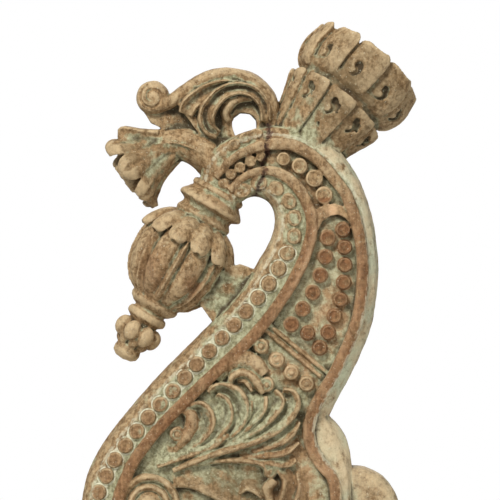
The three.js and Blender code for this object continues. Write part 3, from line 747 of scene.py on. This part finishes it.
TRIANGLES = 195000
block.data.calc_loop_triangles()
thin = block.modifiers.new("thin", "DECIMATE")
thin.ratio = TRIANGLES / len(block.data.loop_triangles)
thin.use_collapse_triangulate = True
bpy.ops.object.modifier_apply(modifier="thin")
hand_work("tool_marks", 5.0, 0.5)
bpy.ops.object.shade_smooth()
points = points_of(block.data)
points[:, 2] = np.maximum(points[:, 2], 0)
points[points[:, 2] < 0.6, 2] = 0
seam_line = smooth_line([(28, 446), (29, 434), (25, 424), (27, 416), (22, 405), (24, 396), (19, 386),
                         (17, 376), (11, 370)], 120)
seam_gap = np.hypot(points[:, 0, None] - seam_line[:, 0], points[:, 2, None] - seam_line[:, 1]).min(axis=1)
on_face_side = (points[:, 1] < -12) & (points[:, 2] > 366) & (points[:, 2] < 447)
points[:, 1] += np.where(on_face_side, 2.4 * np.exp(-((seam_gap / 1.7) ** 2)), 0)
move_points(block.data, points)
print("bracket:", len(block.data.polygons), "triangles, points on the show side:",
      int((points[:, 1] < 6).sum()), "of", len(points))

# %% [markdown]
# ## Where paint, dirt, wear and painted shade lie
# Old paint stays in hollows and wears off ridges; the hollows are also darkened as painted shade and the
# ridges lightened as a painted highlight. Each point of the mesh is given a few plain numbers, such as how
# deep it lies in a hollow and how far it is from a rim or a bead, and the finish reads them.

# %% Hollows and ridges
mesh = block.data
count = len(mesh.vertices)
edges = np.empty(len(mesh.edges) * 2, np.int32)
mesh.edges.foreach_get("vertices", edges)
edges = edges.reshape(-1, 2)
ends = np.concatenate([edges[:, 0], edges[:, 1]])
mates = np.concatenate([edges[:, 1], edges[:, 0]])
degree = np.bincount(ends, minlength=count).astype(float)
normals = np.empty(count * 3, np.float32)
mesh.vertex_normals.foreach_get("vector", normals)
normals = normals.reshape(-1, 3)


def neighbour_mean(values):
    sums = [np.bincount(ends, values[mates, k], count) for k in range(values.shape[1])]
    return np.column_stack(sums) / degree[:, None]


def hollow_at(rounds):
    """How far a smoothed copy of the surface lies outside each point: above 0 in hollows."""
    soft = points.copy()
    for _ in range(rounds):
        soft = neighbour_mean(soft)
    return ((soft - points) * normals).sum(axis=1)


fine_hollow = hollow_at(5)
broad_hollow = hollow_at(60)
fine_hollow = neighbour_mean(fine_hollow[:, None])[:, 0]
print("hollows, mm: fine", fine_hollow.std().round(2), "broad", broad_hollow.std().round(2))


# %% Distances to the drawn lines
def reach(stations):
    """Distance of every point, seen from the front, to the nearest station."""
    best = np.full(count, 1e9)
    for start in range(0, len(stations), 40):
        part = stations[start:start + 40]
        gap = np.hypot(points[:, 0, None] - part[:, 0], points[:, 2, None] - part[:, 1])
        best = np.minimum(best, gap.min(axis=1))
    return best


def inside(polygon):
    x, z = points[:, 0], points[:, 2]
    hit = np.zeros(count, bool)
    for (x0, z0), (x1, z1) in zip(polygon, np.roll(polygon, -1, axis=0)):
        crosses = (z0 > z) != (z1 > z)
        if z0 != z1:
            hit ^= crosses & (x < (x1 - x0) * (z - z0) / (z1 - z0) + x0)
    return hit


front = smoothstep(-points[:, 1], 16, 24)
in_plank = inside(edge_line)
in_face = inside(face_line)
in_panel = inside(panel)
to_rims = np.minimum(reach(inner_rim), reach(outer_rim))
to_beads = reach(border_beads)
to_discs = reach(np.array([(x, z) for x, z, _ in panel_discs + channel_discs]))
to_face_edge = reach(face_line)
to_seam = reach(seam_line)
print("points on the plank:", int(in_plank.sum()), "in the panel:", int(in_panel.sum()))


# %% Write the numbers on the mesh
def number(name, values):
    layer = mesh.attributes.new(name, "FLOAT", "POINT")
    layer.data.foreach_set("value", values.astype(np.float32))


def patch(x, z, wide, tall):
    return np.exp(-((points[:, 0] - x) / wide) ** 2 - ((points[:, 2] - z) / tall) ** 2)


on_plank = in_plank & (np.abs(points[:, 1]) < RIM + 3)
edge_strip = (in_plank & ~in_face).astype(float)
rims = (1 - smoothstep(to_rims, RIM_HALF - 1.5, RIM_HALF + 1.5)) * on_plank
rims = rims * (0.25 + 0.75 * (1 - smoothstep(points[:, 2], 330, 400)))
discs = (1 - smoothstep(to_discs, 7, 8.6)) * in_panel * front * (points[:, 2] < 372)
in_border = in_face & ~in_panel
border_ring = np.where(in_border, to_beads, 30.0) + 30 * (1 - front)
border_ring += 20 * smoothstep(points[:, 2], 318, 345)
number("hollow", fine_hollow)
number("deep", np.where(in_panel, 0.3, 1.0) * broad_hollow)
# Dirt together with painted shade: points are darkened the deeper they lie in a hollow.
grime_and_shade = np.where(in_panel, 0.75, np.where(in_face, 0.45, 1.0)) * fine_hollow
number("grime_and_shade", grime_and_shade + np.where(in_plank, 0, 0.05) * broad_hollow)
gores = 0.8 * patch(-88, 302, 14, 26) + 0.8 * patch(-47, 283, 11, 16)
leaf_brown = 0.6 * in_panel * (patch(-50, 150, 24, 18) + patch(28, 120, 28, 12) + patch(45, 80, 20, 22))
beads = 0.5 * (1 - smoothstep(to_beads, 6.2, 7.4)) * in_border
beads *= 1 - smoothstep(points[:, 2], 240, 330)
number("brown", np.clip(0.85 * rims + discs + (gores + leaf_brown + beads) * front, 0, 1))
number("bead_reach", np.clip(border_ring, 0, 30))
number("edge_reach", np.where(on_plank, np.clip(to_face_edge, 0, 30), 30.0))
number("strip", edge_strip)
on_foot_roll = np.hypot(points[:, 0] - FOOT_ROLL[0], points[:, 2] - FOOT_ROLL[1]) < 47
# Pale chalky paint on the right edge strip and the foot roll; on the strip it is also painted light that
# lifts a side the lamps leave dim.
pale = edge_strip * smoothstep(points[:, 0], 10, 70) * (1 - smoothstep(points[:, 2], 415, 432))
pale += 0.45 * (on_foot_roll & ~in_plank)
number("pale", np.clip(pale, 0, 1))
number("seam_reach", np.where(on_plank | (points[:, 2] > 440), np.clip(to_seam, 0, 30), 30.0))
bare = patch(94, 359, 12, 8) + 0.35 * patch(45, 205, 30, 12)
bare += patch(74, 92, 14, 26) + 0.9 * patch(-26, 365, 12, 5)
bare += 0.8 * in_panel * patch(80, 280, 30, 60)
number("bare", np.clip(bare, 0, 1) * front * (1 - discs))
# Darker patches on the crown, the collar, the flower and the low panel.
shade = ~in_plank * (0.75 * patch(108, 482, 48, 44) + 0.35 * patch(-28, 360, 30, 16))
shade += 0.5 * patch(-110, 405, 22, 28) + 0.6 * in_panel * patch(0, 84, 60, 20)
number("shade", np.clip(shade, 0, 1))
film = patch(68, 462, 20, 24) + patch(105, 392, 26, 30) + 0.8 * patch(-40, 372, 16, 9)
film += in_panel * (patch(0, 140, 70, 60) + 0.5 * patch(80, 290, 40, 70))
film += 0.7 * (patch(-60, 425, 26, 14) + patch(-88, 385, 10, 20) + patch(-20, 483, 30, 8))
film += 0.9 * (patch(-40, 296, 10, 22) + patch(-72, 320, 18, 10))
film += 0.4 * in_border + 0.5 * patch(-68, 268, 8, 18)
number("film", np.clip(film, 0, 1) * front)
print("numbers on each point:", len(mesh.attributes))

# %% [markdown]
# ## Finish
# The wood is a weathered hardwood, tan on worn ridges, which are also lightened as a painted highlight,
# and red-brown where it was handled. Thin green-white paint is left in the hollows, which are also
# darkened as painted shade. The layers are mixed one after another: wood, red-brown, bare wood, paint,
# pale paint that on the right strip is also painted light, darker patches, worn ridges with a painted
# highlight, dirt with painted shade, chalk and the glued seam.

# %% Node helpers
finish = bpy.data.materials.new("weathered_wood")
finish.use_nodes = True
nodes, links = finish.node_tree.nodes, finish.node_tree.links
nodes.clear()


def node(kind, **values):
    item = nodes.new(kind)
    for name, value in values.items():
        setattr(item, name, value)
    return item


def feed(socket, source):
    if hasattr(source, "is_output"):
        links.new(source, socket)
    else:
        socket.default_value = source


def attribute(name):
    return node("ShaderNodeAttribute", attribute_name=name).outputs["Fac"]


def math_node(operation, a, b=0.0, c=0.0, clamp=False):
    item = node("ShaderNodeMath", operation=operation, use_clamp=clamp)
    for socket, source in zip(item.inputs, (a, b, c)):
        feed(socket, source)
    return item.outputs[0]


def times(a, b, clamp=False):
    return math_node("MULTIPLY", a, b, clamp=clamp)


def plus(a, b):
    return math_node("ADD", a, b)


def minus(a, b):
    return math_node("SUBTRACT", a, b)


def larger(a, b):
    return math_node("MAXIMUM", a, b)


def times_plus(a, b, c):
    return math_node("MULTIPLY_ADD", a, b, c)


def ramp(value, low, high):
    """0 below low, 1 above high, smooth between; low may be above high."""
    item = node("ShaderNodeMapRange", interpolation_type="SMOOTHSTEP")
    for name, source in (("Value", value), ("From Min", low), ("From Max", high)):
        feed(item.inputs[name], source)
    return item.outputs[0]


def noise(scale, detail=4.0, roughness=0.55, stretch=(1, 1, 1), turn=(0, 0, 0)):
    where = node("ShaderNodeTexCoord").outputs["Object"]
    placed = node("ShaderNodeMapping")
    placed.inputs["Scale"].default_value = stretch
    placed.inputs["Rotation"].default_value = turn
    links.new(where, placed.inputs["Vector"])
    item = node("ShaderNodeTexNoise")
    item.inputs["Scale"].default_value = scale
    item.inputs["Detail"].default_value = detail
    item.inputs["Roughness"].default_value = roughness
    links.new(placed.outputs[0], item.inputs["Vector"])
    return item.outputs["Fac"]


def mix(factor, a, b):
    item = node("ShaderNodeMix", data_type="RGBA")
    feed(item.inputs["Factor"], factor)
    for socket, source in ((item.inputs[6], a), (item.inputs[7], b)):
        feed(socket, source)
    return item.outputs[2]


def colour(red, green, blue):
    """A picture colour of 0 to 255 as the linear value that a socket takes."""
    return tuple(((v / 255 + 0.055) / 1.055) ** 2.4 for v in (red, green, blue)) + (1.0,)


# %% Layers of the finish
GRAIN = (1, 1, 0.1)
LEAN = (0, 0.35, 0)
streaks = noise(330, 5, 0.65, GRAIN, LEAN)
broad = noise(22, 3, 0.5)
blotch = noise(75, 5, 0.62)
crumble = noise(230, 5, 0.7)
speck = noise(520, 3, 0.6)
hollow, deep = attribute("hollow"), attribute("deep")

mottle = times_plus(streaks, 0.4, times(crumble, 0.6))
wood = mix(ramp(mottle, 0.36, 0.64), colour(98, 74, 45), colour(164, 134, 95))
dry = times(ramp(plus(blotch, times(crumble, 0.6)), 0.7, 1.0), 0.6)
wood = mix(dry, wood, colour(178, 156, 119))
rubbed = times(attribute("brown"), ramp(blotch, 0.22, 0.55))
wood = mix(rubbed, wood, mix(ramp(mottle, 0.34, 0.66), colour(94, 62, 36), colour(140, 98, 62)))
wood = mix(times(attribute("bare"), ramp(blotch, 0.3, 0.6)), wood, colour(204, 166, 126))

lean_to_paint = times_plus(hollow, 0.30, times(deep, 0.035))
lean_to_paint = plus(lean_to_paint, times(attribute("strip"), 0.2))
lean_to_paint = plus(lean_to_paint, times(attribute("film"), 0.3))
lean_to_paint = minus(lean_to_paint, times(attribute("brown"), 0.4))
lean_to_paint = plus(lean_to_paint, times(minus(broad, 0.5), 1.2))
lean_to_paint = plus(lean_to_paint, times(minus(blotch, 0.5), 1.3))
paint = times(ramp(lean_to_paint, 0.02, 0.3), times_plus(crumble, 0.6, 0.4), clamp=True)
painted = mix(ramp(crumble, 0.38, 0.62), colour(130, 138, 106), colour(182, 191, 158))
surface = mix(times(paint, 0.85), wood, painted)
# Pale paint, on the right strip also painted light.
faded_and_painted_light = times(attribute("pale"), ramp(plus(blotch, times(crumble, 0.5)), 0.45, 0.8))
chalky_and_painted_light = mix(ramp(broad, 0.4, 0.6), colour(208, 190, 154), colour(196, 198, 168))
surface = mix(times(faded_and_painted_light, 0.75), surface, chalky_and_painted_light)

surface = mix(times(attribute("shade"), ramp(blotch, 0.2, 0.55)), surface, colour(98, 80, 52))
# Wear and painted highlight: ridges and bumps are lightened to cream.
worn_and_highlit = ramp(times_plus(crumble, -1.0, hollow), -0.95, -1.7)
worn_and_highlit = times(worn_and_highlit, times_plus(attribute("brown"), -0.36, 0.5))
surface = mix(worn_and_highlit, surface, colour(206, 182, 142))

# Dirt and painted shade: hollows are darkened towards dark brown.
dirt_and_shade = ramp(attribute("grime_and_shade"), 0.28, 0.95)
dirt_and_shade = times(dirt_and_shade, ramp(blotch, 0.12, 0.5))
surface = mix(times(dirt_and_shade, 0.9), surface, colour(56, 40, 22))
pits = times(ramp(noise(300, 4, 0.7), 0.62, 0.7), 0.45)
surface = mix(pits, surface, colour(78, 58, 34))

ring = times(ramp(attribute("bead_reach"), 7.6, 8.3), ramp(attribute("bead_reach"), 9.9, 9.1))
rule = times(ramp(attribute("edge_reach"), 2.6, 1.6), ramp(attribute("edge_reach"), 0.2, 1.0))
chalk = larger(ring, times(rule, 0.5))
chalk = times(chalk, ramp(noise(140, 4, 0.65), 0.36, 0.56))
flecks = times(ramp(speck, 0.63, 0.72), 0.5)
surface = mix(larger(times(chalk, 0.85), flecks), surface, colour(216, 212, 184))

seam_wander = times_plus(minus(noise(160, 4, 0.65), 0.5), 14.0, attribute("seam_reach"))
seam = times(ramp(seam_wander, 4.0, 1.2), ramp(noise(110, 4, 0.65), 0.38, 0.5))
surface = mix(times(seam, 0.8), surface, colour(78, 48, 38))
surface = mix(times(ramp(attribute("seam_reach"), 1.7, 0.7), 0.75), surface, colour(44, 28, 20))

# %% Shader
shader = node("ShaderNodeBsdfPrincipled")
links.new(surface, shader.inputs["Base Color"])
shader.inputs["Specular IOR Level"].default_value = 0.25
links.new(times_plus(paint, 0.1, 0.74), shader.inputs["Roughness"])
relief = times_plus(streaks, 0.35, times(speck, 0.25))
relief = plus(relief, times(crumble, 0.9))
relief = minus(relief, times(ring, 0.5))
relief = plus(relief, times(paint, 0.25))
bump = node("ShaderNodeBump")
bump.inputs["Strength"].default_value = 0.8
bump.inputs["Distance"].default_value = 0.002
links.new(relief, bump.inputs["Height"])
links.new(bump.outputs[0], shader.inputs["Normal"])
output = node("ShaderNodeOutputMaterial")
links.new(shader.outputs[0], output.inputs["Surface"])
mesh.materials.clear()
mesh.materials.append(finish)
print("finish:", len(nodes), "nodes")

# %% [markdown]
# ## Into the frame
# The carving is brought from millimetres to metres, rides on the only body and stands for the packed
# solid.

# %% Ride and replace
mesh.transform(Matrix.Diagonal((MM, MM, MM, 1)))
mesh.update()
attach(block, "root")
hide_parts("carved_bracket")
print("carving in metres:", [round(v, 3) for v in block.dimensions])

# %% [markdown]
# ## Studio
# The camera stands square to the show side, three metres off, with the picture half a metre wide at the
# plank. A pale floor lies under the foot. One light hangs above and to the left, a broader and weaker one
# fills from the right, and a third one lights the back.

# %% Floor, lights, world and camera
bpy.ops.object.select_all(action="DESELECT")
bpy.ops.mesh.primitive_circle_add(vertices=96, radius=0.6, fill_type="NGON", location=(0, 0, -0.0005))
floor = bpy.context.object
floor.name = "floor"
bpy.ops.object.transform_apply(location=True)
floor_finish = bpy.data.materials.new("pale_floor")
floor_finish.use_nodes = True
floor_shader = floor_finish.node_tree.nodes["Principled BSDF"]
floor_shader.inputs["Base Color"].default_value = (0.8, 0.8, 0.78, 1)
floor_shader.inputs["Roughness"].default_value = 0.8
floor.data.materials.append(floor_finish)


def lamp(name, place, aim, size, watts):
    data = bpy.data.lights.new(name, "AREA")
    data.size, data.energy = size, watts
    item = bpy.data.objects.new(name, data)
    item.location = place
    item.rotation_euler = (Vector(aim) - Vector(place)).to_track_quat("-Z", "Y").to_euler()
    bpy.context.collection.objects.link(item)


lamp("key", (-0.8, -1.6, 1.9), (0, 0, 0.3), 0.5, 60)
lamp("fill", (1.4, -2.2, 0.9), (0, 0, 0.3), 1.2, 14)
lamp("back", (0.5, 2.2, 1.6), (0, 0, 0.3), 1.2, 34)

world = bpy.data.worlds.new("studio")
bpy.context.scene.world = world
world.use_nodes = True
world_nodes, world_links = world.node_tree.nodes, world.node_tree.links
world_nodes.clear()
seen = world_nodes.new("ShaderNodeBackground")
seen.inputs["Color"].default_value = (1, 1, 1, 1)
ambient = world_nodes.new("ShaderNodeBackground")
ambient.inputs["Color"].default_value = (1, 1, 1, 1)
ambient.inputs["Strength"].default_value = 0.36
path = world_nodes.new("ShaderNodeLightPath")
either = world_nodes.new("ShaderNodeMixShader")
world_out = world_nodes.new("ShaderNodeOutputWorld")
world_links.new(path.outputs["Is Camera Ray"], either.inputs[0])
world_links.new(ambient.outputs[0], either.inputs[1])
world_links.new(seen.outputs[0], either.inputs[2])
world_links.new(either.outputs[0], world_out.inputs["Surface"])

camera_data = bpy.data.cameras.new("camera")
camera_data.lens, camera_data.sensor_width = 216, 36
camera_data.clip_end = 20
camera = bpy.data.objects.new("camera", camera_data)
camera.location = (0.010, -3.0, 0.320)
camera.rotation_euler = (math.pi / 2, 0, 0)
bpy.context.collection.objects.link(camera)
bpy.context.scene.camera = camera
bpy.context.scene.view_settings.view_transform = "Standard"
